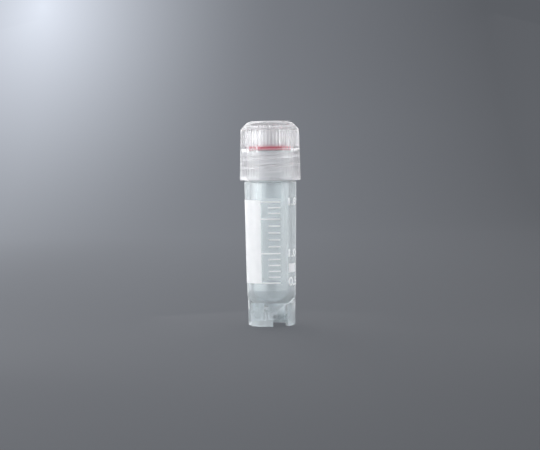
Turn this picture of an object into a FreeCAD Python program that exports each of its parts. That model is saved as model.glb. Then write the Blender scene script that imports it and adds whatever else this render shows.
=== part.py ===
import FreeCAD, Part
import math
import os
import Sketcher

# A cryogenic vial: a moulded tube that stands on its own foot, a screw cap with a ribbed grip and a
# silicone washer. Millimetres, +Z up, origin on the tube's axis at the surface it stands on. The front
# of the scale faces -Y.

# Every driving size, with the alias that the expressions use and what it is on the real vial.
SIZES = [
    # The tube
    ("rim_height", 42.1, "height of the tube's mouth"),
    ("shoulder_height", 34.45, "height of the shoulder where the neck begins"),
    ("step_height", 7.0, "height of the parting step where the foot begins"),
    ("body_diameter", 12.45, "outside, at the shoulder"),
    ("body_low_diameter", 11.65, "outside, at the parting step: the draft of the mould"),
    ("shoulder_chamfer", 0.25, "edge of the shoulder"),
    ("neck_diameter", 10.7, "outside, between the turns of the thread"),
    ("rim_chamfer", 0.25, "outer edge of the mouth"),
    ("bore_diameter", 9.2, "inside, at the mouth"),
    ("bore_low_diameter", 8.9, "inside, where the round bottom begins"),
    ("bottom_height", 3.0, "lowest point of the round bottom, outside"),
    ("bottom_wall", 1.2, "wall at the middle of the round bottom"),
    # The foot
    ("foot_diameter", 11.35, "outside of the standing skirt"),
    ("foot_wall", 0.9, "wall of the standing skirt"),
    ("foot_hollow_height", 5.7, "where the round bottom meets the skirt's inside"),
    ("web_count", 6, "webs inside the foot"),
    ("web_thickness", 1.0, ""),
    ("web_reach", 1.9, "how far a web stands in from the skirt"),
    ("web_recess", 0.9, "how far a web stays above the skirt's foot"),
    ("web_angle", 14.5, "direction of the first web from +X"),
    ("slot_count", 2, "drain slots in the skirt"),
    ("slot_width_angle", 40.0, "angle that a slot takes out of the skirt"),
    ("slot_height", 2.9, ""),
    ("slot_angle", -67.0, "direction of the first slot from +X"),
    # The screw thread, shared by neck and cap
    ("thread_pitch", 2.1, "rise for each turn"),
    ("thread_depth", 0.6, "how far a thread stands out of its wall"),
    ("thread_root_width", 1.1, "height of a thread where it leaves its wall"),
    ("thread_crest_width", 0.5, "height of a thread at its crest"),
    ("thread_bite", 0.1, "how far a thread's root is sunk in its wall"),
    ("thread_clearance", 0.2, "radial gap from each crest to the other wall"),
    ("neck_thread_rise", 1.275, "middle of the neck thread's start above the shoulder"),
    ("neck_thread_turns", 2.25, ""),
    ("cap_thread_turns", 2.0, ""),
    # The washer
    ("washer_diameter", 10.6, ""),
    ("washer_hole_diameter", 8.0, ""),
    ("washer_thickness", 0.8, ""),
    ("washer_clearance", 0.05, "radial fit of the washer in its seat"),
    # The cap
    ("cap_diameter", 14.55, "over the lip"),
    ("cap_top_diameter", 14.0, "over the grip where the chamfer begins"),
    ("cap_chamfer_width", 1.5, "radial size of the top chamfer"),
    ("cap_chamfer_height", 1.6, ""),
    ("cap_crown_width", 1.2, "radial size of the gentle slope inside the chamfer"),
    ("cap_crown_height", 0.45, ""),
    ("cap_top_wall", 0.9, "thinnest wall of the top, under the dish"),
    ("cap_hollow_height", 4.2, "height of the hollow over the washer"),
    ("cap_hollow_diameter", 9.0, ""),
    ("dish_diameter", 7.2, "shallow dish in the top"),
    ("dish_depth", 1.0, ""),
    ("seat_depth", 0.5, "depth of the washer's seat"),
    ("lip_gap", 0.35, "gap from the tube's shoulder to the cap's lip"),
    ("lip_height", 0.9, "plain band under the grip"),
    ("flute_count", 56, "flutes between the ribs of the grip"),
    ("flute_depth", 0.15, ""),
    ("flute_width", 0.3, "at the surface of the grip"),
    ("flute_root_width", 0.1, "at the bottom of the flute"),
    # The print
    ("ink_thickness", 0.08, ""),
    ("panel_low_margin", 0.15, "writing panel below the middle of the 0.5 ml mark"),
    ("panel_high_margin", 0.4, "writing panel above the middle of the 1.8 ml mark"),
    ("panel_width_angle", 204.5, "angle that the panel takes round the tube"),
    ("scale_angle", -112.8, "direction of the panel's edge, where the long marks begin"),
    ("long_mark_angle", 44.6, "angle that a long mark takes"),
    ("short_mark_angle", 27.8, "angle that a short mark takes"),
    ("mark_thickness", 0.35, "height of one line"),
    ("half_mark_height", 10.45, "0.5 ml"),
    ("whole_mark_height", 17.5, "1.0 ml"),
    ("upper_mark_height", 25.7, "1.5 ml"),
    ("full_mark_height", 29.8, "1.8 ml"),
    ("block_rise", 2.37, "lower edge of the white block above the middle of the 0.5 ml mark"),
    ("block_height", 2.15, ""),
    ("block_gap_angle", 21.9, "from the ends of the marks to the block"),
    ("block_width_angle", 30.0, ""),
]

# The numbered marks from the bottom up, and the steps of 0.1 ml between each one and the next.
LONG_MARKS = ["half_mark_height", "whole_mark_height", "upper_mark_height", "full_mark_height"]
STEPS_BETWEEN = [5, 5, 3]

# Radii and heights that more than one outline uses.
BODY_RADIUS = "sizes.body_diameter / 2"
BODY_LOW_RADIUS = "sizes.body_low_diameter / 2"
NECK_RADIUS = "sizes.neck_diameter / 2"
BORE_RADIUS = "sizes.bore_diameter / 2"
BORE_LOW_RADIUS = "sizes.bore_low_diameter / 2"
FOOT_RADIUS = "sizes.foot_diameter / 2"
FOOT_INNER_RADIUS = "(sizes.foot_diameter / 2 - sizes.foot_wall)"
INNER_BOTTOM = "(sizes.bottom_height + sizes.bottom_wall)"
CONE_TOP = "(sizes.shoulder_height - sizes.shoulder_chamfer)"
WASHER_RADIUS = "sizes.washer_diameter / 2"

# The cap is drawn from its washer seat, which is its own zero height.
SEAT_HEIGHT = "(sizes.rim_height + sizes.washer_thickness)"
CAP_LIP = "(sizes.shoulder_height + sizes.lip_gap - " + SEAT_HEIGHT + ")"
CAP_TOP = "(sizes.cap_hollow_height + sizes.cap_top_wall + sizes.dish_depth)"
CAP_GRIP_TOP = "(" + CAP_TOP + " - sizes.cap_chamfer_height - sizes.cap_crown_height)"
CAP_BORE_RADIUS = "(" + NECK_RADIUS + " + sizes.thread_depth + sizes.thread_clearance)"
SEAT_RADIUS = "(" + WASHER_RADIUS + " + sizes.washer_clearance)"


def make_sheet(doc):
    sheet = doc.addObject("Spreadsheet::Sheet", "sizes")
    for row, (alias, value, note) in enumerate(SIZES, start=1):
        sheet.set(f"A{row}", alias)
        sheet.set(f"B{row}", str(value))
        sheet.setAlias(f"B{row}", alias)
        sheet.set(f"C{row}", note)
    doc.recompute()


def make_body(doc, name):
    body = doc.addObject("PartDesign::Body", name)
    body.Label = name
    return body


def origin_item(body, role):
    return next(item for item in body.Origin.OriginFeatures if item.Role == role)


def make_sketch(body, name, role, turn=None, axis=FreeCAD.Vector(0, 0, 1)):
    """A sketch on one of the body's own planes, turned about an axis of the sketch if asked."""
    sketch = body.newObject("Sketcher::SketchObject", name)
    sketch.AttachmentSupport = [(origin_item(body, role), "")]
    sketch.MapMode = "FlatFace"
    if turn:
        sketch.AttachmentOffset = FreeCAD.Placement(FreeCAD.Vector(), FreeCAD.Rotation(axis, 1))
        sketch.setExpression("AttachmentOffset.Rotation.Angle", turn)
    return sketch


def dish_edge(start, stop):
    """An arc between two points, centred on the sketch's upright axis above the lower one."""
    low, high = sorted((start, stop), key=lambda point: point.y)
    rise = high.y - low.y
    centre = FreeCAD.Vector(0, low.y + (high.x ** 2 + rise ** 2) / (2 * rise), 0)
    circle = Part.Circle(centre, FreeCAD.Vector(0, 0, 1), (low - centre).Length)
    return Part.ArcOfCircle(circle, *(math.atan2(end.y - centre.y, end.x) for end in (low, high)))


def tie(sketch, direction, edge, end, expression):
    """Ties one coordinate of an edge's end to an expression, or to the sketch's axis where it is zero."""
    if expression == "0":
        axis = -2 if direction == "X" else -1
        sketch.addConstraint(Sketcher.Constraint("PointOnObject", edge, end, axis))
        return
    value = float(sketch.evalExpression(expression))
    number = sketch.addConstraint(Sketcher.Constraint("Distance" + direction, -1, 1, edge, end, value))
    sketch.setExpression(f"Constraints[{number}]", expression)


def draw_outline(sketch, corners, dished=()):
    """Draws a closed outline through corners, pairs of expressions, and ties each corner to them.

    dished lists the corners from which the edge to the next one is an arc centred on the axis.
    """
    points = [FreeCAD.Vector(*(float(sketch.evalExpression(part)) for part in corner)) for corner in corners]
    ends = []
    for number, start in enumerate(points):
        stop = points[(number + 1) % len(points)]
        curve = dish_edge(start, stop) if number in dished else Part.LineSegment(start, stop)
        edge = sketch.addGeometry(curve)
        runs_on = sketch.Geometry[edge].StartPoint.isEqual(start, 1e-6)
        ends.append((edge, 1, 2) if runs_on else (edge, 2, 1))
        if number in dished:
            sketch.addConstraint(Sketcher.Constraint("PointOnObject", edge, 3, -2))
    for number, (edge, first, last) in enumerate(ends):
        following, its_first, _ = ends[(number + 1) % len(ends)]
        sketch.addConstraint(Sketcher.Constraint("Coincident", edge, last, following, its_first))
        across, up = corners[number]
        tie(sketch, "X", edge, first, across)
        tie(sketch, "Y", edge, first, up)


def turned(body, kind, name, corners, dished=(), angle=None, turn=None):
    """A Revolution or Groove of an outline about the body's Z axis, whole or through an angle."""
    upright = FreeCAD.Vector(0, 1, 0)
    sketch = make_sketch(body, name + "_outline", "XZ_Plane", turn, upright)
    draw_outline(sketch, corners, dished)
    feature = body.newObject("PartDesign::" + kind, name)
    feature.Profile = sketch
    feature.ReferenceAxis = (sketch, ["V_Axis"])
    feature.Angle = 360
    if angle:
        feature.Midplane = True
        feature.setExpression("Angle", angle)
    return feature


def repeated(body, feature, name, count):
    """Copies a feature evenly round the body's Z axis."""
    pattern = body.newObject("PartDesign::PolarPattern", name)
    pattern.Originals = [feature]
    pattern.Axis = (origin_item(body, "Z_Axis"), [""])
    pattern.Angle = 360
    pattern.setExpression("Occurrences", count)
    body.Tip = pattern
    return pattern


def thread(body, name, wall, outward, start, turns):
    """A right-handed ridge wound on a round wall, from a start height upwards."""
    side = 1 if outward else -1
    root = f"{wall} - {side} * sizes.thread_bite"
    crest = f"{wall} + {side} * sizes.thread_depth"
    sketch = make_sketch(body, name + "_section", "XZ_Plane")
    draw_outline(sketch, [
        (root, start + " - sizes.thread_root_width / 2"),
        (crest, start + " - sizes.thread_crest_width / 2"),
        (crest, start + " + sizes.thread_crest_width / 2"),
        (root, start + " + sizes.thread_root_width / 2"),
    ])
    helix = body.newObject("PartDesign::AdditiveHelix", name)
    helix.Profile = sketch
    helix.ReferenceAxis = (sketch, ["V_Axis"])
    helix.Mode = "pitch-turns-angle"
    helix.setExpression("Pitch", "sizes.thread_pitch")
    helix.setExpression("Turns", turns)
    return helix


def make_tube(doc):
    """One moulding: drafted body, round bottom, threaded neck and the foot with its webs and slots."""
    body = make_body(doc, "tube")
    turned(body, "Revolution", "outside", [
        ("0", "0"),
        (FOOT_RADIUS, "0"),
        (FOOT_RADIUS, "sizes.step_height"),
        (BODY_LOW_RADIUS, "sizes.step_height"),
        (BODY_RADIUS, CONE_TOP),
        (BODY_RADIUS + " - sizes.shoulder_chamfer", "sizes.shoulder_height"),
        (NECK_RADIUS, "sizes.shoulder_height"),
        (NECK_RADIUS, "sizes.rim_height - sizes.rim_chamfer"),
        (NECK_RADIUS + " - sizes.rim_chamfer", "sizes.rim_height"),
        ("0", "sizes.rim_height"),
    ])
    turned(body, "Groove", "foot_hollow", [
        ("0", "0"),
        (FOOT_INNER_RADIUS, "0"),
        (FOOT_INNER_RADIUS, "sizes.foot_hollow_height"),
        ("0", "sizes.bottom_height"),
    ], dished=[2])
    add_webs(body)
    turned(body, "Groove", "bore", [
        ("0", INNER_BOTTOM),
        (BORE_LOW_RADIUS, INNER_BOTTOM + " + " + BORE_LOW_RADIUS),
        (BORE_RADIUS, "sizes.rim_height"),
        ("0", "sizes.rim_height"),
    ], dished=[0])
    slot = turned(body, "Groove", "slot", [
        (FOOT_INNER_RADIUS, "0"),
        (FOOT_RADIUS + " + sizes.foot_wall", "0"),
        (FOOT_RADIUS + " + sizes.foot_wall", "sizes.slot_height"),
        (FOOT_INNER_RADIUS, "sizes.slot_height"),
    ], angle="sizes.slot_width_angle", turn="sizes.slot_angle")
    repeated(body, slot, "slots", "sizes.slot_count")
    start = "sizes.shoulder_height + sizes.neck_thread_rise"
    body.Tip = thread(body, "neck_thread", NECK_RADIUS, True, start, "sizes.neck_thread_turns")
    return body


def add_webs(body):
    """Upright webs inside the foot, from the skirt towards the middle."""
    sketch = make_sketch(body, "web_plan", "XY_Plane", "sizes.web_angle")
    sketch.setExpression("AttachmentOffset.Base.z", "sizes.web_recess")
    inner = FOOT_INNER_RADIUS + " - sizes.web_reach"
    outer = FOOT_INNER_RADIUS + " + sizes.foot_wall / 2"
    draw_outline(sketch, [
        (inner, "-sizes.web_thickness / 2"),
        (outer, "-sizes.web_thickness / 2"),
        (outer, "sizes.web_thickness / 2"),
        (inner, "sizes.web_thickness / 2"),
    ])
    web = body.newObject("PartDesign::Pad", "web")
    web.Profile = sketch
    web.setExpression("Length", "sizes.foot_hollow_height - sizes.web_recess")
    repeated(body, web, "webs", "sizes.web_count")


def make_cap(doc):
    """One moulding: ribbed grip, plain lip, dished top, washer seat and the thread inside."""
    body = make_body(doc, "cap")
    body.setExpression("Placement.Base.z", SEAT_HEIGHT)
    side = "sizes.cap_top_diameter / 2"
    crown = side + " - sizes.cap_chamfer_width"
    hollow = "sizes.cap_hollow_diameter / 2"
    turned(body, "Revolution", "shell", [
        (hollow, "0"),
        (SEAT_RADIUS, "0"),
        (SEAT_RADIUS, "-sizes.seat_depth"),
        (CAP_BORE_RADIUS, "-sizes.seat_depth"),
        (CAP_BORE_RADIUS, CAP_LIP),
        ("sizes.cap_diameter / 2", CAP_LIP),
        (side, CAP_GRIP_TOP),
        (crown, CAP_GRIP_TOP + " + sizes.cap_chamfer_height"),
        (crown + " - sizes.cap_crown_width", CAP_TOP),
        ("sizes.dish_diameter / 2", CAP_TOP),
        ("0", CAP_TOP + " - sizes.dish_depth"),
        ("0", "sizes.cap_hollow_height"),
        (hollow, "sizes.cap_hollow_height"),
    ], dished=[9])
    add_flutes(body)
    start = CAP_LIP + " - sizes.lip_gap + sizes.neck_thread_rise + sizes.thread_pitch / 2"
    body.Tip = thread(body, "cap_thread", CAP_BORE_RADIUS, False, start, "sizes.cap_thread_turns")
    return body


def add_flutes(body):
    """Upright flutes cut in the grip along its slope; what stands between them are the ribs."""
    sketch = make_sketch(body, "flute_section", "XY_Plane")
    sketch.AttachmentOffset = FreeCAD.Placement(FreeCAD.Vector(0, 0, 1), FreeCAD.Rotation())
    bottom = "(" + CAP_LIP + " + sizes.lip_height)"
    sketch.setExpression("AttachmentOffset.Base.z", bottom)
    slope = f"((sizes.cap_diameter - sizes.cap_top_diameter) / 2 / ({CAP_GRIP_TOP} - {CAP_LIP}))"
    surface = "(sizes.cap_diameter / 2 - sizes.lip_height * " + slope + ")"
    outer = surface + " + sizes.flute_depth"
    root = surface + " - sizes.flute_depth"
    # The sides keep their angle past the surface, so that the cut is as wide as stated where it meets it.
    outer_half = "(sizes.flute_width - sizes.flute_root_width / 2)"
    draw_outline(sketch, [
        (root, "-sizes.flute_root_width / 2"),
        (outer, "-" + outer_half),
        (outer, outer_half),
        (root, "sizes.flute_root_width / 2"),
    ])
    flute = body.newObject("PartDesign::Pocket", "flute")
    flute.Profile = sketch
    flute.UseCustomVector = True
    flute.setExpression("Direction.x", slope)
    flute.Direction = (0, 0, -1)
    flute.AlongSketchNormal = False
    flute.Reversed = True
    flute.setExpression("Length", CAP_TOP + " - " + bottom)
    repeated(body, flute, "flutes", "sizes.flute_count")


def make_washer(doc):
    """The silicone ring between the tube's rim and the cap's seat."""
    body = make_body(doc, "sealing_washer")
    body.setExpression("Placement.Base.z", "sizes.rim_height")
    hole = "sizes.washer_hole_diameter / 2"
    turned(body, "Revolution", "ring", [
        (hole, "0"),
        (WASHER_RADIUS, "0"),
        (WASHER_RADIUS, "sizes.washer_thickness"),
        (hole, "sizes.washer_thickness"),
    ])
    return body


def make_ink_sleeve(doc, name):
    """A film of ink all round the tube's drafted body, from which the printed fields are taken."""
    cones = []
    for which, extra in (("outer", "sizes.ink_thickness"), ("inner", "0")):
        cone = doc.addObject("Part::Cone", f"{name}_{which}")
        cone.setExpression("Radius1", BODY_LOW_RADIUS + " + " + extra)
        cone.setExpression("Radius2", BODY_RADIUS + " + " + extra)
        cone.setExpression("Height", CONE_TOP + " - sizes.step_height")
        cone.setExpression("Placement.Base.z", "sizes.step_height")
        cones.append(cone)
    sleeve = doc.addObject("Part::Cut", name)
    sleeve.Base, sleeve.Tool = cones
    return sleeve


def wedge(doc, name, low, height, start, angle):
    """A slice of a round block, to take one printed field out of the ink sleeve."""
    block = doc.addObject("Part::Cylinder", name)
    block.setExpression("Radius", "sizes.body_diameter")
    block.setExpression("Height", height)
    block.setExpression("Angle", angle)
    block.setExpression("Placement.Base.z", low)
    block.setExpression("Placement.Rotation.Angle", start)
    return block


def take_print(doc, name, wedges):
    """The parts of an ink sleeve that lie in the wedges."""
    fields = wedges[0]
    if len(wedges) > 1:
        fields = doc.addObject("Part::Compound", name + "_fields")
        fields.Links = wedges
    printed = doc.addObject("Part::Common", name)
    printed.Base = make_ink_sleeve(doc, name + "_sleeve")
    printed.Tool = fields
    printed.Label = name
    return printed


def make_panel(doc):
    """The white field for writing on, which goes more than half way round the tube."""
    low = "sizes.half_mark_height - sizes.panel_low_margin"
    height = "sizes.full_mark_height + sizes.panel_high_margin - (" + low + ")"
    start = "sizes.scale_angle - sizes.panel_width_angle"
    field = wedge(doc, "panel_field", low, height, start, "sizes.panel_width_angle")
    return take_print(doc, "writing_panel", [field])


def make_scale(doc):
    """The marks at each 0.1 ml, long at each 0.5 ml and at the last, and the block beside them."""
    wedges = []

    def add_mark(name, height, start, angle):
        low = height + " - sizes.mark_thickness / 2"
        wedges.append(wedge(doc, name, low, "sizes.mark_thickness", start, angle))

    short_start = "sizes.scale_angle + sizes.long_mark_angle - sizes.short_mark_angle"
    for number, alias in enumerate(LONG_MARKS):
        here = "sizes." + alias
        add_mark(f"long_mark_{number}", here, "sizes.scale_angle", "sizes.long_mark_angle")
        if number == len(STEPS_BETWEEN):
            break
        steps = STEPS_BETWEEN[number]
        rise = f"(sizes.{LONG_MARKS[number + 1]} - {here}) / {steps}"
        for step in range(1, steps):
            height = f"{here} + {step} * {rise}"
            add_mark(f"short_mark_{number}_{step}", height, short_start, "sizes.short_mark_angle")
    block_start = "sizes.scale_angle + sizes.long_mark_angle + sizes.block_gap_angle"
    block_angle = "sizes.block_width_angle"
    block_low = "sizes.half_mark_height + sizes.block_rise"
    wedges.append(wedge(doc, "block", block_low, "sizes.block_height", block_start, block_angle))
    return take_print(doc, "scale_marks", wedges)


def check(doc, parts):
    """Stops before anything is written if an object failed or a part has no sound shape."""
    for item in doc.Objects:
        bad = {"Invalid", "Error"} & set(item.State)
        if bad:
            raise RuntimeError(f"{item.Name} is {sorted(bad)}")
    for part in parts:
        if part.Shape.isNull() or not part.Shape.isValid() or not part.Shape.Solids:
            raise RuntimeError(f"{part.Label} has no valid solid")


def main():
    doc = FreeCAD.newDocument("cryogenic_vial")
    make_sheet(doc)
    parts = [make(doc) for make in (make_tube, make_cap, make_washer, make_panel, make_scale)]
    doc.recompute()
    check(doc, parts)
    os.makedirs("parts", exist_ok=True)
    for part in parts:
        part.Shape.exportStep(f"parts/{part.Label}.step")
        print(part.Label, len(part.Shape.Solids), "solid(s),", round(part.Shape.Volume, 2), "mm3")


main()
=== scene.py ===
# %% [markdown]
# # A cryogenic vial
#
# This lesson dresses a small laboratory vial: a clear moulded tube that stands on its own foot, a
# milky screw cap with a ribbed grip, a red silicone washer between them, and white print. The real
# vial is 49 mm high. Its walls are about a millimetre thick, and its ribs and printed lines are
# much finer.
#
# The frame is the measured model of the same vial. It gives the places, and each piece made below
# stands in for one of its solids, all but the small figures of the scale.

import math

import bmesh
import bpy
from mathutils import Matrix, Vector


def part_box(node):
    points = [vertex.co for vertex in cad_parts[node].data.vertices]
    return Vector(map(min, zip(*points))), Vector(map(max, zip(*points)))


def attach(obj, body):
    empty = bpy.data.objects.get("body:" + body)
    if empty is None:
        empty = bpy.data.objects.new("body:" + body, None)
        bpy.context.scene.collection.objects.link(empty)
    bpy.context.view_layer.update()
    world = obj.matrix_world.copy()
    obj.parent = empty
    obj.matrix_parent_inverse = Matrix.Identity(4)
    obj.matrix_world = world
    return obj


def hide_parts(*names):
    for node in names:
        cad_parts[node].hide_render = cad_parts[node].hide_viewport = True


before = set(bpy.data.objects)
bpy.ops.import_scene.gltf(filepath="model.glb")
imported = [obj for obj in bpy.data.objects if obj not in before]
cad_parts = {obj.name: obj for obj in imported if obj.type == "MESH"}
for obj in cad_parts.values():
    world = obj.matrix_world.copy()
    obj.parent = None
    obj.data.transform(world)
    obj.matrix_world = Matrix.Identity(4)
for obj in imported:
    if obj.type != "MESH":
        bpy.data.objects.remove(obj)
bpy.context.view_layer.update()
print("frame nodes:", sorted(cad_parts))

# %% [markdown]
# ## Working in millimetres
#
# Blender's modelling tools have small built-in distances below which two points count as one. On
# a flute of 0.1 mm, written as 0.0001 m, they come too close. So each piece is modelled with one
# unit for a millimetre, and is brought to metres only when it is finished. The object itself then
# stays at the origin, unturned and unscaled, with its place in its mesh.
#
# Smooth shading blends the directions of neighbouring faces. Where a long straight wall meets a
# narrow rounded edge, a plain blend would tilt the whole wall a few degrees, and a clear wall
# would then bend light like a lens. Weighted normals give each face a say by its area, so straight
# walls stay straight.

# %% A piece from finished millimetres
MM = 0.001
CREASE = math.radians(32)


def make_piece(form, name):
    """Turn a bmesh in millimetres into an object in metres, smooth but for its real edges."""
    bmesh.ops.scale(form, vec=(MM, MM, MM), verts=form.verts)
    for face in form.faces:
        face.smooth = True
    rough_mesh = bpy.data.meshes.new(name)
    form.to_mesh(rough_mesh)
    form.free()
    rough_mesh.set_sharp_from_angle(angle=CREASE)
    piece = bpy.data.objects.new(name, rough_mesh)
    bpy.context.scene.collection.objects.link(piece)
    true_normals = piece.modifiers.new("true_normals", "WEIGHTED_NORMAL")
    true_normals.mode = "FACE_AREA"
    true_normals.keep_sharp = True
    seen = piece.evaluated_get(bpy.context.evaluated_depsgraph_get())
    mesh = bpy.data.meshes.new_from_object(seen)
    piece.modifiers.clear()
    piece.data = mesh
    bpy.data.meshes.remove(rough_mesh)
    mesh.name = name
    count = sum(len(face.vertices) - 2 for face in mesh.polygons)
    print(f"{name}: {count} triangles")
    return piece


def height_of(node):
    """The lowest and highest point of a frame node, in millimetres."""
    low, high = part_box(node)
    return low[2] / MM, high[2] / MM


# %% [markdown]
# ## Turned shapes
#
# The tube, the cap and the washer are all round, so each one begins as half of its cross-section:
# a chain of edges in the XZ plane. The corners of a moulding are never knife-sharp, because the
# steel of the mould is not. A vertex bevel rounds them while they are still a chain, which is far
# cleaner than bevelling the finished solid. A spin about Z then turns the chain into the wall, and
# its first and last columns are merged so that the surface is closed.

# %% Chains of edges and the lathe
SAME_PLACE = 1e-5


def tell(what, form):
    """Print the size of a form, and how many of its edges are open."""
    open_edges = sum(not edge.is_manifold for edge in form.edges)
    print(f"{what}: {len(form.faces)} faces, {open_edges} open edges")


def chain(form, corners, start=None):
    """Add a chain of edges through corners, (radius, height) pairs. Returns its new vertices."""
    made = []
    for across, up in corners:
        corner = form.verts.new((across, 0, up))
        if start:
            form.edges.new((start, corner))
        made.append(corner)
        start = corner
    return made


def dish(form, bottom, rim, steps):
    """An arc from the axis up to a rim, centred above its lowest point. Returns the rim end."""
    rise = rim[1] - bottom
    centre = bottom + (rim[0] ** 2 + rise ** 2) / (2 * rise)
    sweep = math.atan2(rim[0], centre - rim[1])
    low = form.verts.new((0, 0, bottom))
    made = bmesh.ops.spin(
        form, geom=[low], cent=(0, 0, centre), axis=(0, -1, 0), angle=sweep, steps=steps
    )
    return next(item for item in made["geom_last"] if isinstance(item, bmesh.types.BMVert))


def soften(form, corners, size, segments=3):
    """Round corners of a chain, starting a given distance from each."""
    bmesh.ops.bevel(
        form,
        geom=corners,
        offset=size,
        offset_type="OFFSET",
        affect="VERTICES",
        segments=segments,
        profile=0.5,
        material=-1,
    )


def turn(form, columns):
    """Spin everything once round Z and close the seam and the poles."""
    bmesh.ops.spin(
        form,
        geom=form.verts[:] + form.edges[:],
        cent=(0, 0, 0),
        axis=(0, 0, 1),
        angle=math.tau,
        steps=columns,
        use_merge=True,
    )
    bmesh.ops.remove_doubles(form, verts=form.verts, dist=SAME_PLACE)
    bmesh.ops.recalc_face_normals(form, faces=form.faces)
    tell("turned", form)


# %% [markdown]
# ## Joining and cutting
#
# A moulding is one solid, so a thread or a web may not simply be pushed into the wall: light that
# passes through a clear plastic would meet the hidden faces inside it. The Boolean modifier melts
# them into one skin. It runs here on scratch objects, and its result goes back into the bmesh.

# %% Boolean on scratch objects
def scratch(form, name):
    """A passing object with a form's mesh, in millimetres."""
    mesh = bpy.data.meshes.new(name)
    form.to_mesh(mesh)
    item = bpy.data.objects.new(name, mesh)
    bpy.context.scene.collection.objects.link(item)
    return item


def combine(form, tools, operation):
    """Join tools to a form, or cut them from it, and free the tools."""
    base = scratch(form, "base")
    helpers = []
    for tool in tools:
        bmesh.ops.recalc_face_normals(tool, faces=tool.faces)
        helper = scratch(tool, "tool")
        tool.free()
        helpers.append(helper)
        change = base.modifiers.new("change", "BOOLEAN")
        change.object = helper
        change.operation = operation
        change.solver = "EXACT"
    seen = base.evaluated_get(bpy.context.evaluated_depsgraph_get())
    result = bpy.data.meshes.new_from_object(seen)
    form.clear()
    form.from_mesh(result)
    bpy.data.meshes.remove(result)
    for item in [base] + helpers:
        mesh = item.data
        bpy.data.objects.remove(item)
        bpy.data.meshes.remove(mesh)
    tell(f"{operation.lower()} of {len(tools)} tool(s)", form)


# %% [markdown]
# ## The screw thread
#
# A thread is its own cross-section swept along a helix. Spin does this too: its dvec is added at
# each step, so the section climbs by one pitch for each turn. The ends of a moulded thread run out
# gently into the wall, so the sections near both ends are pushed back towards it. The thread's root
# lies a little inside the wall, so that the two overlap when they are joined.

# %% Sweep a thread
PITCH = 2.1
THREAD_DEPTH = 0.6
THREAD_ROOT = 1.1
THREAD_CREST = 0.5
THREAD_BITE = 0.1
THREAD_EDGE = 0.14
THREAD_STEPS = 96
RUN_OUT = math.radians(35)
RUN_OUT_END = 0.12


def smooth_step(part):
    """0 below 0, 1 above 1, and an even S between them."""
    part = min(max(part, 0), 1)
    return part * part * (3 - 2 * part)


def make_thread(wall, side, start, turns):
    """A right-handed thread on a wall's outside (side 1) or inside (side -1)."""
    form = bmesh.new()
    root = wall - side * THREAD_BITE
    crest = wall + side * THREAD_DEPTH
    corners = chain(form, [
        (root, start - THREAD_ROOT / 2),
        (crest, start - THREAD_CREST / 2),
        (crest, start + THREAD_CREST / 2),
        (root, start + THREAD_ROOT / 2),
    ])
    form.edges.new((corners[-1], corners[0]))
    soften(form, corners[1:3], THREAD_EDGE)
    bmesh.ops.contextual_create(form, geom=form.edges[:])
    bmesh.ops.spin(
        form,
        geom=form.verts[:] + form.edges[:] + form.faces[:],
        cent=(0, 0, 0),
        axis=(0, 0, 1),
        dvec=(0, 0, PITCH / THREAD_STEPS),
        angle=turns * math.tau,
        steps=round(turns * THREAD_STEPS),
    )
    # The thread climbs evenly, so a vertex's height and direction say how far along it lies.
    for vert in form.verts:
        around = math.atan2(vert.co.y, vert.co.x)
        lap = round((vert.co.z - start) / PITCH - around / math.tau)
        travel = around + lap * math.tau
        left = min(travel, turns * math.tau - travel)
        if left < RUN_OUT:
            radius = math.hypot(vert.co.x, vert.co.y)
            fade = smooth_step(left / RUN_OUT)
            wanted = root + (radius - root) * (RUN_OUT_END + (1 - RUN_OUT_END) * fade)
            vert.co.x *= wanted / radius
            vert.co.y *= wanted / radius
    return form


# %% [markdown]
# ## The tube
#
# On the real vial the tube, its threaded neck and the foot are one injection moulding. It is
# slightly wider at the shoulder than at the foot, the draft that lets it leave the mould, and its
# round bottom ends well above the bench so that the skirt alone carries it. The chain below follows
# the outside from the middle of the bottom, down round the skirt, up to the mouth and back down the
# bore.

# %% Turn the tube
COLUMNS = 192
floor_height, rim = height_of("tube")
SHOULDER = 34.45
STEP = 7.0
BODY_R = 6.225
BODY_LOW_R = 5.825
NECK_R = 5.35
BORE_R = 4.6
BORE_LOW_R = 4.45
BOTTOM = 3.0
INNER_BOTTOM = 4.2
FOOT_R = 5.675
SKIRT_R = 4.775
SKIRT_INSIDE_TOP = 5.7

tube = bmesh.new()
hollow_rim = dish(tube, BOTTOM, (SKIRT_R, SKIRT_INSIDE_TOP), 14)
outline = chain(tube, [
    (SKIRT_R, floor_height),
    (FOOT_R, floor_height),
    (FOOT_R, STEP),
    (BODY_LOW_R, STEP),
    (BODY_R, SHOULDER),
    (NECK_R, SHOULDER),
    (NECK_R, rim),
    (BORE_R, rim),
], start=hollow_rim)
bore_end = dish(tube, INNER_BOTTOM, (BORE_LOW_R, INNER_BOTTOM + BORE_LOW_R), 18)
tube.edges.new((outline[-1], bore_end))
skirt_in, skirt_out, step_in, step_out, shoulder, neck_foot, mouth_out, mouth_in = outline
soften(tube, [skirt_in, skirt_out], 0.18)
soften(tube, [step_in], 0.08, 2)
soften(tube, [step_out], 0.06, 2)
soften(tube, [shoulder], 0.3, 4)
soften(tube, [neck_foot], 0.15)
soften(tube, [mouth_out], 0.22)
soften(tube, [mouth_in], 0.25)
soften(tube, [hollow_rim], 0.3)
turn(tube, COLUMNS)

# %% [markdown]
# ## Foot and neck
#
# Inside the skirt, six upright webs stiffen the foot, and two slots let liquid nitrogen or wash
# water drain out. The webs are slim boxes with sloping tops and rounded inner edges: one function
# makes each and turns it to its place. A slot is cut by a block that is itself a spin: a rectangle
# swept through the slot's angle.

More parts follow.
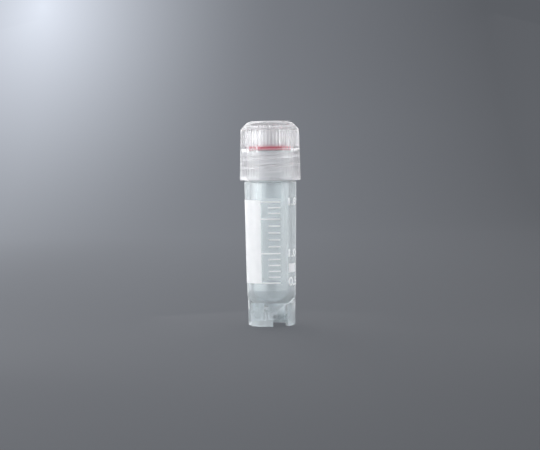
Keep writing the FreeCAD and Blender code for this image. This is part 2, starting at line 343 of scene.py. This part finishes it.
# %% Webs, slots and the neck thread
WEBS = 6
WEB_THICKNESS = 1.0
WEB_REACH = 1.9
WEB_ANGLE = 14.5
WEB_ROOT = 0.45
WEB_FOOT = 0.9
WEB_TOP = 6.6
WEB_INNER_TOP = 4.5
WEB_EDGE = 0.2
SLOT_ANGLE = -67.0
SLOT_WIDTH = 40.0
SLOT_HEIGHT = 2.9
CUTTER_R = 7.5
CUTTER_LOW = -1
THREAD_START = SHOULDER + 1.275


def make_web(number):
    """One web from the skirt inwards, its foot a little above the skirt's."""
    form = bmesh.new()
    bmesh.ops.create_cube(form, size=1)
    length = WEB_REACH + WEB_ROOT
    tall = WEB_TOP - WEB_FOOT
    bmesh.ops.scale(form, vec=(length, WEB_THICKNESS, tall), verts=form.verts)
    middle = (SKIRT_R + WEB_ROOT - length / 2, 0, WEB_FOOT + tall / 2)
    bmesh.ops.translate(form, vec=middle, verts=form.verts)
    inner = [vert for vert in form.verts if vert.co.x < SKIRT_R - WEB_REACH / 2]
    tops = [vert for vert in inner if vert.co.z > (WEB_FOOT + WEB_TOP) / 2]
    bmesh.ops.translate(form, vec=(0, 0, WEB_INNER_TOP - WEB_TOP), verts=tops)
    inner_edges = [edge for edge in form.edges if all(vert in inner for vert in edge.verts)]
    soft_edges = [edge for edge in inner_edges if not all(vert in tops for vert in edge.verts)]
    bmesh.ops.bevel(
        form,
        geom=soft_edges,
        offset=WEB_EDGE,
        affect="EDGES",
        segments=3,
        profile=0.5,
        material=-1,
    )
    around = Matrix.Rotation(math.radians(WEB_ANGLE + 360 / WEBS * number), 3, "Z")
    bmesh.ops.rotate(form, cent=(0, 0, 0), matrix=around, verts=form.verts)
    return form


def make_slot_cutter(number):
    """A block through the skirt, from just inside it. Two of them stand opposite each other."""
    form = bmesh.new()
    inside = SKIRT_R - 0.02
    corners = chain(form, [
        (inside, CUTTER_LOW),
        (CUTTER_R, CUTTER_LOW),
        (CUTTER_R, SLOT_HEIGHT),
        (inside, SLOT_HEIGHT),
    ])
    form.faces.new(corners)
    start = Matrix.Rotation(math.radians(SLOT_ANGLE + 180 * number - SLOT_WIDTH / 2), 3, "Z")
    bmesh.ops.rotate(form, cent=(0, 0, 0), matrix=start, verts=form.verts)
    bmesh.ops.spin(
        form,
        geom=form.verts[:] + form.edges[:] + form.faces[:],
        cent=(0, 0, 0),
        axis=(0, 0, 1),
        angle=math.radians(SLOT_WIDTH),
        steps=24,
    )
    return form


combine(tube, [make_web(number) for number in range(WEBS)], "UNION")
combine(tube, [make_slot_cutter(0), make_slot_cutter(1)], "DIFFERENCE")
combine(tube, [make_thread(NECK_R, 1, THREAD_START, 2.25)], "UNION")
vial_body = make_piece(tube, "vial_body")
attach(vial_body, "vial")
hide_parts("tube")

# %% [markdown]
# ## The cap
#
# The cap is one moulding as well: a ribbed grip, a smooth lip, a chamfered top with a shallow dish,
# and inside it the seat that holds the washer. Only its grip is not round. Fifty-six flutes leave
# as many ribs between them, so the cap is turned with eight columns to a rib, and the columns of
# the grip are then pushed in where a flute runs. Extra rows are cut into the chain first, close
# together where the flutes fade out, which is at the lip and on the chamfer.

# %% Turn the cap
RIBS = 56
PER_RIB = 8
lip, cap_top = height_of("cap")
seat = height_of("sealing_washer")[1]
CAP_LIP_R = 7.275
CAP_SIDE_R = 7.0
GRIP_TOP = 46.95
GRIP_LOW = lip + 0.9
CHAMFER_TOP = 48.55
CROWN_R = 5.5
DISH_EDGE_R = 4.3
DISH_R = 3.6
DISH_BOTTOM = 48.0
CAP_BORE_R = 6.15
SEAT_R = 5.35
SEAT_LOW = 42.4
HOLLOW_R = 4.5
HOLLOW_TOP = 47.1
TOP_STARTS = 46.0
TOP_OUTSIDE_R = 5.6
OUTSIDE_R = CAP_BORE_R + 0.2
GRIP_ROWS = [GRIP_LOW + step for step in (-0.1, 0, 0.12, 0.25, 0.4)]
GRIP_ROWS += [39.0, 42.0, 45.0]
GRIP_ROWS += [GRIP_TOP + step for step in (-0.5, 0.3, 0.6, 0.9, 1.2)]


def is_outside(vert):
    """True on the chain's outside, where the grip and the chamfer are."""
    return vert.co.x > (OUTSIDE_R if vert.co.z < TOP_STARTS else TOP_OUTSIDE_R)


def corners_at(form, across, up):
    """The corners of a chain at a radius and height."""
    near = 1e-3
    return [v for v in form.verts if abs(v.co.x - across) < near and abs(v.co.z - up) < near]



cap = bmesh.new()
dish_end = dish(cap, DISH_BOTTOM, (DISH_R, cap_top), 12)
corners = chain(cap, [
    (DISH_EDGE_R, cap_top),
    (CROWN_R, CHAMFER_TOP),
    (CAP_SIDE_R, GRIP_TOP),
    (CAP_LIP_R, lip),
    (CAP_BORE_R, lip),
    (CAP_BORE_R, SEAT_LOW),
    (SEAT_R, SEAT_LOW),
    (SEAT_R, seat),
    (HOLLOW_R, seat),
    (HOLLOW_R, HOLLOW_TOP),
    (0, HOLLOW_TOP),
], start=dish_end)
dish_edge, crown, _, _, bore_lip, bore_top, _, _, _, hollow_corner, _ = corners
soften(cap, [dish_edge], 0.25)
soften(cap, [crown], 0.35)
soften(cap, [bore_lip], 0.2)
soften(cap, [bore_top], 0.15)
soften(cap, [hollow_corner], 0.5, 4)
soften(cap, [dish_end], 0.15)
for row in GRIP_ROWS:
    bmesh.ops.bisect_plane(
        cap,
        geom=[edge for edge in cap.edges if all(is_outside(vert) for vert in edge.verts)],
        plane_co=(0, 0, row),
        plane_no=(0, 0, 1),
    )
soften(cap, corners_at(cap, CAP_LIP_R, lip), 0.25)
soften(cap, corners_at(cap, CAP_SIDE_R, GRIP_TOP), 0.45, 4)
turn(cap, RIBS * PER_RIB)

# %% Push in the flutes
FLUTE_DEPTH = 0.11
FLUTE_SHARE = 0.16
GRIP_INSIDE_R = 6.6
ABOVE_BORE = 45.0
LOW_FADE = (GRIP_LOW, GRIP_LOW + 0.4)
HIGH_FADE = (GRIP_TOP + 0.8, GRIP_TOP + 1.5)


def ramp(value, low, high):
    """0 at low, 1 at high, and smooth between them."""
    return smooth_step((value - low) / (high - low))


def is_on_grip(up, radius):
    """True on the ribbed outside, and not on the wall of the bore at the same height."""
    if up < ABOVE_BORE and radius < GRIP_INSIDE_R:
        return False
    return GRIP_LOW <= up <= CHAMFER_TOP and radius >= CROWN_R


moved = 0
for vert in cap.verts:
    up = vert.co.z
    radius = math.hypot(vert.co.x, vert.co.y)
    if not is_on_grip(up, radius):
        continue
    share = (math.atan2(vert.co.y, vert.co.x) / math.tau * RIBS) % 1
    groove = 1 - ramp(min(share, 1 - share), 0, FLUTE_SHARE)
    fade = ramp(up, *LOW_FADE) * (1 - ramp(up, *HIGH_FADE))
    wanted = radius - FLUTE_DEPTH * groove * fade
    vert.co.x *= wanted / radius
    vert.co.y *= wanted / radius
    moved += 1
print("grip vertices shaped:", moved)

# %% [markdown]
# ## Thread in the cap
#
# The cap has the same thread on the inside of its bore, pointing inwards. It starts half a pitch
# higher, so that its ridge lies in the groove of the neck's, with room on both sides. The two stay
# clear of each other all the way when the cap is turned.

# %% Join the thread and finish the cap
combine(cap, [make_thread(CAP_BORE_R, -1, THREAD_START + PITCH / 2, 2.0)], "UNION")
screw_cap = make_piece(cap, "screw_cap")
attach(screw_cap, "cap")
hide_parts("cap")

# %% [markdown]
# ## The washer
#
# A flat ring of red silicone lies in the cap's seat and is squeezed onto the tube's rim. It is a
# turned rectangle with soft edges. It is a hair thinner than its seat, because two faces in exactly
# the same place would flicker between one material and the other.

# %% Turn the washer
washer_low, washer_high = height_of("sealing_washer")
HAIR = 0.01
WASHER_R = 5.3
WASHER_HOLE_R = 4.0
WASHER_EDGE = 0.12
WASHER_COLUMNS = 160

washer = bmesh.new()
ring = chain(washer, [
    (WASHER_HOLE_R, washer_low + HAIR),
    (WASHER_R, washer_low + HAIR),
    (WASHER_R, washer_high - HAIR),
    (WASHER_HOLE_R, washer_high - HAIR),
])
washer.edges.new((ring[-1], ring[0]))
soften(washer, ring, WASHER_EDGE)
turn(washer, WASHER_COLUMNS)
washer_ring = make_piece(washer, "washer_ring")
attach(washer_ring, "washer")
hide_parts("sealing_washer")

# %% [markdown]
# ## Print
#
# White ink lies on the tube as a film that can be felt with a fingernail. Each field is first drawn
# flat, as on the printer's film, with degrees round the tube across and millimetres upwards. Planes
# then cut it into narrow upright strips, so that it can be rolled round the drafted body without
# corners, and it is given its thickness last. The film starts a little under the plastic's surface,
# so that no light slips between the two.

# %% Draw flat, then roll
INK_SUNK = 0.02
INK_PROUD = 0.05
STRIP = 2.0
OFF_EDGE = 0.001


def body_radius(up):
    """Outside of the drafted tube at a height."""
    return BODY_LOW_R + (BODY_R - BODY_LOW_R) * (up - STEP) / (SHOULDER - STEP)


def add_bar(form, start, wide, low, tall):
    """A flat bar: degrees across, millimetres up."""
    corners = [(start, low), (start + wide, low), (start + wide, low + tall), (start, low + tall)]
    form.faces.new([form.verts.new((across, up, 0)) for across, up in corners])


def roll(form):
    """Roll a flat drawing round the tube and give it the thickness of ink."""
    left = min(vert.co.x for vert in form.verts)
    right = max(vert.co.x for vert in form.verts)
    # A cut that ran exactly along an edge of the drawing could miss it, so all are a hair off.
    cut = math.floor(left / STRIP) * STRIP + STRIP
    while cut < right:
        bmesh.ops.bisect_plane(
            form,
            geom=form.verts[:] + form.edges[:] + form.faces[:],
            plane_co=(cut + OFF_EDGE, 0, 0),
            plane_no=(1, 0, 0),
        )
        cut += STRIP
    for vert in form.verts:
        around = math.radians(vert.co.x)
        up = vert.co.y
        radius = body_radius(up) - INK_SUNK
        vert.co = Vector((radius * math.cos(around), radius * math.sin(around), up))
    bmesh.ops.recalc_face_normals(form, faces=form.faces)
    for face in form.faces:
        middle = face.calc_center_median()
        if face.normal.x * middle.x + face.normal.y * middle.y < 0:
            face.normal_flip()
    made = bmesh.ops.extrude_face_region(form, geom=form.faces[:], use_keep_orig=True)
    for vert in [item for item in made["geom"] if isinstance(item, bmesh.types.BMVert)]:
        radius = math.hypot(vert.co.x, vert.co.y)
        grow = (radius + INK_SUNK + INK_PROUD) / radius
        vert.co.x *= grow
        vert.co.y *= grow
    bmesh.ops.recalc_face_normals(form, faces=form.faces)
    tell("rolled", form)


# %% [markdown]
# ## Writing field and scale
#
# The large white field takes handwriting, and it goes more than half way round the tube. From its
# right edge the scale runs: a short line at every 0.1 ml, and a long one at 0.5, 1.0, 1.5 and
# 1.8 ml. Each stretch between two long lines is divided evenly, but the stretches differ a little.
# A small white block sits right of the scale.

# %% Writing field
SCALE_ANGLE = -112.8
FIELD_WIDTH = 204.5
LONG = 44.6
SHORT = 27.8
LINE = 0.35
HALF_ML = 10.45
ONE_ML = 17.5
UPPER_ML = 25.7
FULL_ML = 29.8
FIELD_LOW = HALF_ML - 0.15
FIELD_TALL = FULL_ML - HALF_ML + 0.55

field = bmesh.new()
add_bar(field, SCALE_ANGLE - FIELD_WIDTH, FIELD_WIDTH, FIELD_LOW, FIELD_TALL)
roll(field)
writing_field = make_piece(field, "writing_field")
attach(writing_field, "vial")
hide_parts("writing_panel")

# %% Scale lines and block
BLOCK_START = SCALE_ANGLE + LONG + 21.9
BLOCK_WIDTH = 30.0
BLOCK_LOW = HALF_ML + 2.37
BLOCK_TALL = 2.15

lines = bmesh.new()
stretches = [(HALF_ML, ONE_ML, 5), (ONE_ML, UPPER_ML, 5), (UPPER_ML, FULL_ML, 3)]
for low, high, steps in stretches:
    add_bar(lines, SCALE_ANGLE, LONG, low - LINE / 2, LINE)
    for step in range(1, steps):
        up = low + (high - low) * step / steps
        add_bar(lines, SCALE_ANGLE + LONG - SHORT, SHORT, up - LINE / 2, LINE)
add_bar(lines, SCALE_ANGLE, LONG, FULL_ML - LINE / 2, LINE)
add_bar(lines, BLOCK_START, BLOCK_WIDTH, BLOCK_LOW, BLOCK_TALL)
roll(lines)
scale_lines = make_piece(lines, "scale_lines")
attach(scale_lines, "vial")
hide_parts("scale_marks")

# %% [markdown]
# ## Figures
#
# The scale carries three figures in a wide, bold face. They start as Blender text, which draws
# proper outlines, and become a flat mesh that goes through the same roll as the lines. A small
# offset thickens the strokes before that.

# %% Figures of the scale
FIGURE_START = -46.5
FIGURE_STRETCH = 1.25
STROKE_OFFSET = 0.025
FIGURES = [("1.8", 29.75, 1.9), ("1.0", 17.5, 1.9), ("0.5", 10.7, 2.1)]


def add_figures(form, words, middle, tall):
    """Set words flat at a height, in degrees across and millimetres up."""
    text = bpy.data.curves.new("figures", "FONT")
    text.body = words
    text.offset = STROKE_OFFSET
    text.resolution_u = 6
    item = bpy.data.objects.new("figures", text)
    bpy.context.scene.collection.objects.link(item)
    seen = item.evaluated_get(bpy.context.evaluated_depsgraph_get())
    mesh = bpy.data.meshes.new_from_object(seen)
    before = set(form.verts)
    form.from_mesh(mesh)
    new = [vert for vert in form.verts if vert not in before]
    bpy.data.meshes.remove(mesh)
    bpy.data.objects.remove(item)
    bpy.data.curves.remove(text)
    low = min(vert.co.y for vert in new)
    size = tall / (max(vert.co.y for vert in new) - low)
    left = min(vert.co.x for vert in new)
    per_degree = math.radians(1) * body_radius(middle)
    for vert in new:
        across = FIGURE_START + (vert.co.x - left) * size * FIGURE_STRETCH / per_degree
        vert.co = Vector((across, middle + (vert.co.y - low) * size - tall / 2, 0))


figures = bmesh.new()
for words, middle, tall in FIGURES:
    add_figures(figures, words, middle, tall)
bmesh.ops.remove_doubles(figures, verts=figures.verts, dist=SAME_PLACE)
roll(figures)
scale_figures = make_piece(figures, "scale_figures")
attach(scale_figures, "vial")

# %% [markdown]
# ## Plastics
#
# Natural polypropylene is neither clear nor white. Light goes through it, but the crystals in it
# scatter a part of it, so a thick wall looks milky and a thin one like misted glass. Here most of
# the light is transmitted, and the rest is scattered by the diffuse part of the same shader. How
# clear the plastic looks depends on what touches it: where the washer's silicone wets the wall
# there is no air gap behind it, so that band is nearly clear and the red shows. So clearness
# follows the height, and the roughness of the surface with it. Noise changes the colour a little,
# as the flow of the melt does, and a fine orange peel keeps the highlights from looking computed.

# %% Material helpers
def new_material(name):
    """A node material. Returns it with its nodes, its links and its shader."""
    material = bpy.data.materials.new(name)
    material.use_nodes = True
    tree = material.node_tree
    return material, tree.nodes, tree.links, tree.nodes["Principled BSDF"]


def add_noise(nodes, links, scale, detail=3.0, stretch=(1, 1, 1)):
    """Noise on the piece's own coordinates, in metres, with a stretch along each axis."""
    place = nodes.new("ShaderNodeTexCoord")
    shift = nodes.new("ShaderNodeMapping")
    shift.inputs["Scale"].default_value = stretch
    noise = nodes.new("ShaderNodeTexNoise")
    noise.inputs["Scale"].default_value = scale
    noise.inputs["Detail"].default_value = detail
    links.new(place.outputs["Object"], shift.inputs["Vector"])
    links.new(shift.outputs["Vector"], noise.inputs["Vector"])
    return noise.outputs["Fac"]


def add_ramp(nodes, links, source, stops):
    """A colour ramp of (place, colour) stops."""
    ramp_node = nodes.new("ShaderNodeValToRGB")
    band = ramp_node.color_ramp
    while len(band.elements) < len(stops):
        band.elements.new(0.5)
    for element, (place, colour) in zip(band.elements, stops):
        element.position = place
        element.color = (*colour, 1)
    links.new(source, ramp_node.inputs["Fac"])
    return ramp_node.outputs["Color"]


def add_range(nodes, links, source, low, high):
    """Stretch a 0 to 1 value to a range."""
    node = nodes.new("ShaderNodeMapRange")
    node.inputs["To Min"].default_value = low
    node.inputs["To Max"].default_value = high
    links.new(source, node.inputs["Value"])
    return node.outputs["Result"]


def add_bump(nodes, links, shader, source, strength, distance):
    """Fine relief from a 0 to 1 value. The distance is its height in metres."""
    bump = nodes.new("ShaderNodeBump")
    bump.inputs["Strength"].default_value = strength
    bump.inputs["Distance"].default_value = distance
    links.new(source, bump.inputs["Height"])
    links.new(bump.outputs["Normal"], shader.inputs["Normal"])


# %% Polypropylene
def by_height(nodes, links, stops):
    """A value that changes smoothly with height, from (millimetres, value) stops."""
    low, high = stops[0][0], stops[-1][0]
    place = nodes.new("ShaderNodeTexCoord")
    split = nodes.new("ShaderNodeSeparateXYZ")
    span = nodes.new("ShaderNodeMapRange")
    span.inputs["From Min"].default_value = low * MM
    span.inputs["From Max"].default_value = high * MM
    links.new(place.outputs["Object"], split.inputs["Vector"])
    links.new(split.outputs["Z"], span.inputs["Value"])
    greys = [((up - low) / (high - low), (value, value, value)) for up, value in stops]
    return add_ramp(nodes, links, span.outputs["Result"], greys)


def polypropylene(name, pale, deep, clearness, roughness):
    """Natural polypropylene: pale and deep are the ends of its slight colour change."""
    material, nodes, links, shader = new_material(name)
    flow = add_noise(nodes, links, 160, stretch=(1, 1, 0.35))
    colour = add_ramp(nodes, links, flow, [(0.3, deep), (0.7, pale)])
    links.new(colour, shader.inputs["Base Color"])
    links.new(by_height(nodes, links, clearness), shader.inputs["Transmission Weight"])
    links.new(by_height(nodes, links, roughness), shader.inputs["Roughness"])
    peel = add_noise(nodes, links, 1400, 2.0)
    add_bump(nodes, links, shader, peel, 0.12, 0.00002)
    shader.inputs["IOR"].default_value = 1.49
    return material


TUBE_CLEARNESS = [(0.0, 0.71), (2.5, 0.75), (6.0, 0.83), (9.0, 0.75), (42.0, 0.73)]
TUBE_ROUGHNESS = [(0.0, 0.03), (42.0, 0.08)]
CAP_CLEARNESS = [
    (34.0, 0.74), (41.5, 0.75), (41.9, 0.985), (42.65, 0.985), (43.05, 0.92), (49.0, 0.95)
]
CAP_ROUGHNESS = [
    (34.0, 0.15), (41.4, 0.13), (41.9, 0.01), (42.6, 0.01), (43.1, 0.22), (49.0, 0.30)
]
tube_plastic = polypropylene(
    "tube_polypropylene", (0.925, 0.97, 0.98), (0.895, 0.95, 0.965), TUBE_CLEARNESS, TUBE_ROUGHNESS
)
cap_plastic = polypropylene(
    "cap_polypropylene", (0.93, 0.923, 0.93), (0.90, 0.893, 0.90), CAP_CLEARNESS, CAP_ROUGHNESS
)
vial_body.data.materials.append(tube_plastic)
screw_cap.data.materials.append(cap_plastic)
print("plastics:", tube_plastic.name, cap_plastic.name)

# %% [markdown]
# ## Ink and silicone
#
# Screen ink dries matt with a faint grain, and it is thinner in some places than in others. Light
# goes a little way into it before it comes back, which subsurface scattering shows. Silicone has a
# soft sheen, and a pigment this strong keeps nearly all light from getting into it.

# %% Ink and silicone
ink, nodes, links, shader = new_material("white_ink")
cloud = add_noise(nodes, links, 420, 4.0)
links.new(
    add_ramp(nodes, links, cloud, [(0.3, (0.89, 0.91, 0.92)), (0.7, (0.94, 0.95, 0.96))]),
    shader.inputs["Base Color"],
)
links.new(add_range(nodes, links, cloud, 0.42, 0.6), shader.inputs["Roughness"])
grain = add_noise(nodes, links, 5200, 2.0)
add_bump(nodes, links, shader, grain, 0.25, 0.00001)
shader.inputs["IOR"].default_value = 1.47
shader.inputs["Subsurface Weight"].default_value = 1.0
shader.inputs["Subsurface Radius"].default_value = (1.0, 1.0, 1.0)
shader.inputs["Subsurface Scale"].default_value = 0.0003
for piece in (writing_field, scale_lines, scale_figures):
    piece.data.materials.append(ink)

silicone, nodes, links, shader = new_material("red_silicone")
cloud = add_noise(nodes, links, 500, 3.0)
links.new(
    add_ramp(nodes, links, cloud, [(0.3, (0.60, 0.002, 0.050)), (0.7, (0.72, 0.004, 0.068))]),
    shader.inputs["Base Color"],
)
links.new(add_range(nodes, links, cloud, 0.35, 0.5), shader.inputs["Roughness"])
grain = add_noise(nodes, links, 2600, 2.0)
add_bump(nodes, links, shader, grain, 0.15, 0.00001)
shader.inputs["IOR"].default_value = 1.41
shader.inputs["Specular IOR Level"].default_value = 0.2
washer_ring.data.materials.append(silicone)
print("ink and silicone ready")

# %% [markdown]
# ## Studio
#
# The vial stands on a seamless grey sheet that curves up into a backdrop, so that no line shows
# behind it from the front. The sheet's own colour is nearly black, and its brightness is painted
# glow: an emission that lightens the contact shadow, painted brighter at the back and on the left,
# with a painted patch of light high on the left of the backdrop.

# %% Floor and backdrop
FLOOR_HALF = 2.2
FLOOR_FRONT = -1.6
CURVE_START = 0.35
CURVE_R = 0.5
BACKDROP_TOP = 0.52

sweep = bmesh.new()
front = sweep.verts.new((-FLOOR_HALF, FLOOR_FRONT, 0))
back = sweep.verts.new((-FLOOR_HALF, CURVE_START, 0))
sweep.edges.new((front, back))
curve = bmesh.ops.spin(
    sweep,
    geom=[back],
    cent=(0, CURVE_START, CURVE_R),
    axis=(1, 0, 0),
    angle=math.radians(90),
    steps=32,
)
curve_end = next(item for item in curve["geom_last"] if isinstance(item, bmesh.types.BMVert))
backdrop_end = sweep.verts.new((-FLOOR_HALF, curve_end.co.y, BACKDROP_TOP))
sweep.edges.new((curve_end, backdrop_end))
across = bmesh.ops.extrude_edge_only(sweep, edges=sweep.edges[:])
bmesh.ops.translate(
    sweep,
    vec=(2 * FLOOR_HALF, 0, 0),
    verts=[item for item in across["geom"] if isinstance(item, bmesh.types.BMVert)],
)
bmesh.ops.recalc_face_normals(sweep, faces=sweep.faces)
for face in sweep.faces:
    face.smooth = True
sweep_mesh = bpy.data.meshes.new("studio_sweep")
sweep.to_mesh(sweep_mesh)
sweep.free()
studio_sweep = bpy.data.objects.new("studio_sweep", sweep_mesh)
bpy.context.scene.collection.objects.link(studio_sweep)
print("sweep:", len(sweep_mesh.polygons), "faces")

# %% Paper of the sweep, with its painted glow
painted_glow_paper, nodes, links, shader = new_material("studio_paper_painted_glow")
fibre = add_noise(nodes, links, 6, 3.0)
links.new(
    add_ramp(nodes, links, fibre, [(0.3, (0.0145, 0.015, 0.016)), (0.7, (0.015, 0.0155, 0.0165))]),
    shader.inputs["Base Color"],
)
shader.inputs["Roughness"].default_value = 0.9
shader.inputs["Specular IOR Level"].default_value = 0.1


def along(nodes, links, axis, start, end, low, high):
    """A value that goes from low to high while a coordinate goes from start to end, in metres."""
    place = nodes.new("ShaderNodeTexCoord")
    split = nodes.new("ShaderNodeSeparateXYZ")
    span = nodes.new("ShaderNodeMapRange")
    span.inputs["From Min"].default_value = start
    span.inputs["From Max"].default_value = end
    span.inputs["To Min"].default_value = low
    span.inputs["To Max"].default_value = high
    links.new(place.outputs["Object"], split.inputs["Vector"])
    links.new(split.outputs[axis], span.inputs["Value"])
    return span.outputs["Result"]


def calculate(nodes, links, operation, first, second):
    """The sum or product of two values, each a socket or a plain number."""
    node = nodes.new("ShaderNodeMath")
    node.operation = operation
    for socket, value in zip(node.inputs, (first, second)):
        if isinstance(value, float):
            socket.default_value = value
        else:
            links.new(value, socket)
    return node.outputs["Value"]


# Painted glow: the sheet's emission, brighter to the left and back, lightens the contact shadow.
PAINTED_PATCH_PLACE = (-0.125, 0.66, 0.11)
PAINTED_PATCH_REACH = (0.136, 0.8, 0.17)
PAINTED_PATCH_STRENGTH = 0.56
PAINTED_TABLE_GLOW = 0.142
painted_glow_across = along(nodes, links, "X", -0.12, 0.12, 1.45, 0.50)
painted_glow_depth = along(nodes, links, "Y", -0.2, 0.55, 0.64, 1.30)
# A painted patch of light, high on the left of the backdrop.
painted_patch_place = nodes.new("ShaderNodeTexCoord")
painted_patch_shift = nodes.new("ShaderNodeMapping")
painted_patch_shift.vector_type = "TEXTURE"
painted_patch_shift.inputs["Location"].default_value = PAINTED_PATCH_PLACE
painted_patch_shift.inputs["Scale"].default_value = PAINTED_PATCH_REACH
painted_patch = nodes.new("ShaderNodeTexGradient")
painted_patch.gradient_type = "QUADRATIC_SPHERE"
links.new(painted_patch_place.outputs["Object"], painted_patch_shift.inputs["Vector"])
links.new(painted_patch_shift.outputs["Vector"], painted_patch.inputs["Vector"])
painted_glow = calculate(nodes, links, "MULTIPLY", painted_glow_across, painted_glow_depth)
painted_glow = calculate(nodes, links, "MULTIPLY", painted_glow, PAINTED_TABLE_GLOW)
painted_patch_glow = calculate(nodes, links, "MULTIPLY", painted_patch.outputs["Fac"], PAINTED_PATCH_STRENGTH)
# The painted glow and the painted patch together make the sheet's emission.
links.new(calculate(nodes, links, "ADD", painted_glow, painted_patch_glow), shader.inputs["Emission Strength"])
shader.inputs["Emission Color"].default_value = (0.92, 0.98, 1.10, 1)
studio_sweep.data.materials.append(painted_glow_paper)
print("paper ready:", painted_glow_paper.name)

# %% [markdown]
# ## Lights
#
# A clear object is drawn by what surrounds it, not by what shines on it: its middle shows the
# backdrop, and its sides bend the view round to whatever stands left and right. The camera looks
# slightly down, so every upright wall mirrors or bends the view to the floor. The cards that make
# the bright bands therefore stand on the floor, close by and hidden from the camera. A narrowed
# spread dims each light towards its own plane, which softens the line where that plane meets the
# sheet.

# %% Cards and softboxes
SPREAD = math.radians(150)
CARD_GAP = 0.0005
AIM_HEIGHT = 0.024
SOFTBOX_DISTANCE = 0.6


def add_light(name, place, aim, wide, tall, radiance):
    """A rectangular light, set by its brightness for its area, so its size can change freely."""
    light = bpy.data.lights.new(name, "AREA")
    light.shape = "RECTANGLE"
    light.size = wide
    light.size_y = tall
    light.energy = radiance * wide * tall * math.pi
    light.spread = SPREAD
    item = bpy.data.objects.new(name, light)
    item.location = place
    item.rotation_euler = (Vector(aim) - Vector(place)).to_track_quat("-Z", "Y").to_euler()
    item.visible_camera = False
    bpy.context.scene.collection.objects.link(item)
    print(f"{name}: {wide:.3f} x {tall:.3f} m")


def add_card(name, bearing, wide, distance, tall, radiance):
    """A glowing card that stands on the floor. Bearing and width are degrees, from the front."""
    turned = math.radians(bearing)
    middle = CARD_GAP + tall / 2
    place = (distance * math.sin(turned), -distance * math.cos(turned), middle)
    width = 2 * distance * math.tan(math.radians(wide / 2))
    add_light(name, place, (0, 0, middle), width, tall, radiance)


def add_softbox(name, bearing, rise, wide, radiance):
    """A square softbox that looks at the vial from above. All angles are in degrees."""
    turned, lifted = math.radians(bearing), math.radians(rise)
    level = SOFTBOX_DISTANCE * math.cos(lifted)
    up = SOFTBOX_DISTANCE * math.sin(lifted) + AIM_HEIGHT
    place = (level * math.sin(turned), -level * math.cos(turned), up)
    size = 2 * SOFTBOX_DISTANCE * math.tan(math.radians(wide / 2))
    add_light(name, place, (0, 0, AIM_HEIGHT), size, size, radiance)


add_card("front_left_card", -68, 60, 0.10, 0.075, 1.9)
add_card("front_right_card", 75, 56, 0.10, 0.075, 1.05)
add_card("rear_left_card", -152, 48, 0.035, 0.05, 0.42)
add_card("rear_right_card", 153, 46, 0.035, 0.05, 0.26)
add_softbox("rear_left_softbox", -150, 26, 40, 1.5)
add_softbox("rear_right_softbox", 150, 26, 40, 0.75)

world = bpy.data.worlds.new("studio_air")
world.use_nodes = True
background = world.node_tree.nodes["Background"]
background.inputs["Color"].default_value = (0.84, 0.86, 0.90, 1)
background.inputs["Strength"].default_value = 1.5
bpy.context.scene.world = world

# %% [markdown]
# ## Camera
#
# A long lens from half a metre keeps the sides of the vial nearly parallel, and a view only three
# degrees downwards shows the foot and the cap's edge alike. Light that goes through a tube inside a
# cap meets many walls, so the path may bend often before it is cut off.

# %% Camera and colour
DISTANCE = 0.5
ELEVATION = math.radians(3.2)
ROLL = math.radians(0.68)
camera_data = bpy.data.cameras.new("camera")
camera_data.lens = 138.8
camera_data.sensor_width = 36
camera = bpy.data.objects.new("camera", camera_data)
aim = Vector((-0.0002, 0, AIM_HEIGHT))
camera.location = aim + DISTANCE * Vector((0, -math.cos(ELEVATION), math.sin(ELEVATION)))
look = (aim - camera.location).to_track_quat("-Z", "Y").to_matrix()
camera.rotation_euler = (look @ Matrix.Rotation(-ROLL, 3, "Z")).to_euler()
bpy.context.scene.collection.objects.link(camera)
bpy.context.scene.camera = camera
bpy.context.scene.view_settings.view_transform = "Standard"
BOUNCES = 24
bpy.context.scene.cycles.max_bounces = BOUNCES
bpy.context.scene.cycles.transmission_bounces = BOUNCES
print("camera at", tuple(round(value, 4) for value in camera.location))

# %% [markdown]
# ## Finish
#
# The dressed vial must be as large as the frame. Last, the scene is brought up to date.

# %% Finish
bpy.context.view_layer.update()
